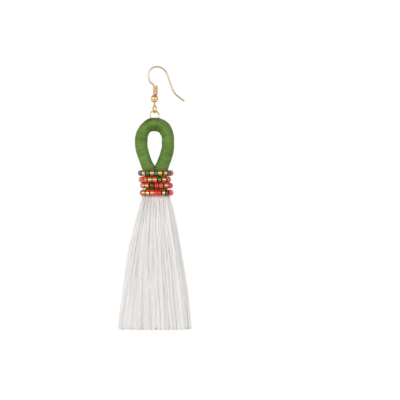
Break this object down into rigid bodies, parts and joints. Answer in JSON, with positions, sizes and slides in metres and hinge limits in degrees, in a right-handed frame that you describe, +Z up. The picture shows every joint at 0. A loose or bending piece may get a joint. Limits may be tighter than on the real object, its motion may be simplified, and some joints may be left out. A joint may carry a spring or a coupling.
{
  "type": "tassel earring",
  "caption": "Long drop earring: gold wire hook with spring and ball, jump ring, green thread-wrapped cord loop, neck bound with small glass beads, white yarn fringe.",
  "frame": {"origin": "inner (under) side of the top of the hook's arch, where the earring hangs on an ear", "axes": "+Z up, the earring hangs along -Z; +X towards the hook's free end; -Y is the front"},
  "size_m": [0.0291, 0.0129, 0.1052],
  "materials": {
    "gold": "polished gold plate",
    "pale_gold": "polished pale gold plate",
    "green_thread": "close-wound matt cotton thread",
    "green_binding": "close-wound matt cotton thread",
    "glass_beads": "glossy clear and lined glass in red, orange, pink, gold, green and blue",
    "white_yarn": "matt twisted yarn"
  },
  "bodies": {
    "hook": {"ear_wire": "gold", "hook_coil": "gold", "hook_ball": "gold"},
    "ring": {"jump_ring": "pale_gold"},
    "drop": {"cord_loop": "green_thread", "neck_binding": "green_binding", "bead_strand": "glass_beads", "tassel_fringe": "white_yarn"}
  },
  "joints": [
    {"name": "ring_swing", "type": "hinge", "parent": "hook", "child": "ring", "pos_m": [-0.00118, 0.00015, -0.01792], "axis": [0.5736, -0.8192, 0], "range_deg": [-60, 60]},
    {"name": "drop_swing", "type": "hinge", "parent": "ring", "child": "drop", "pos_m": [-0.00118, 0.00015, -0.02097], "axis": [0.9397, 0.342, 0], "range_deg": [-20, 20]}
  ]
}
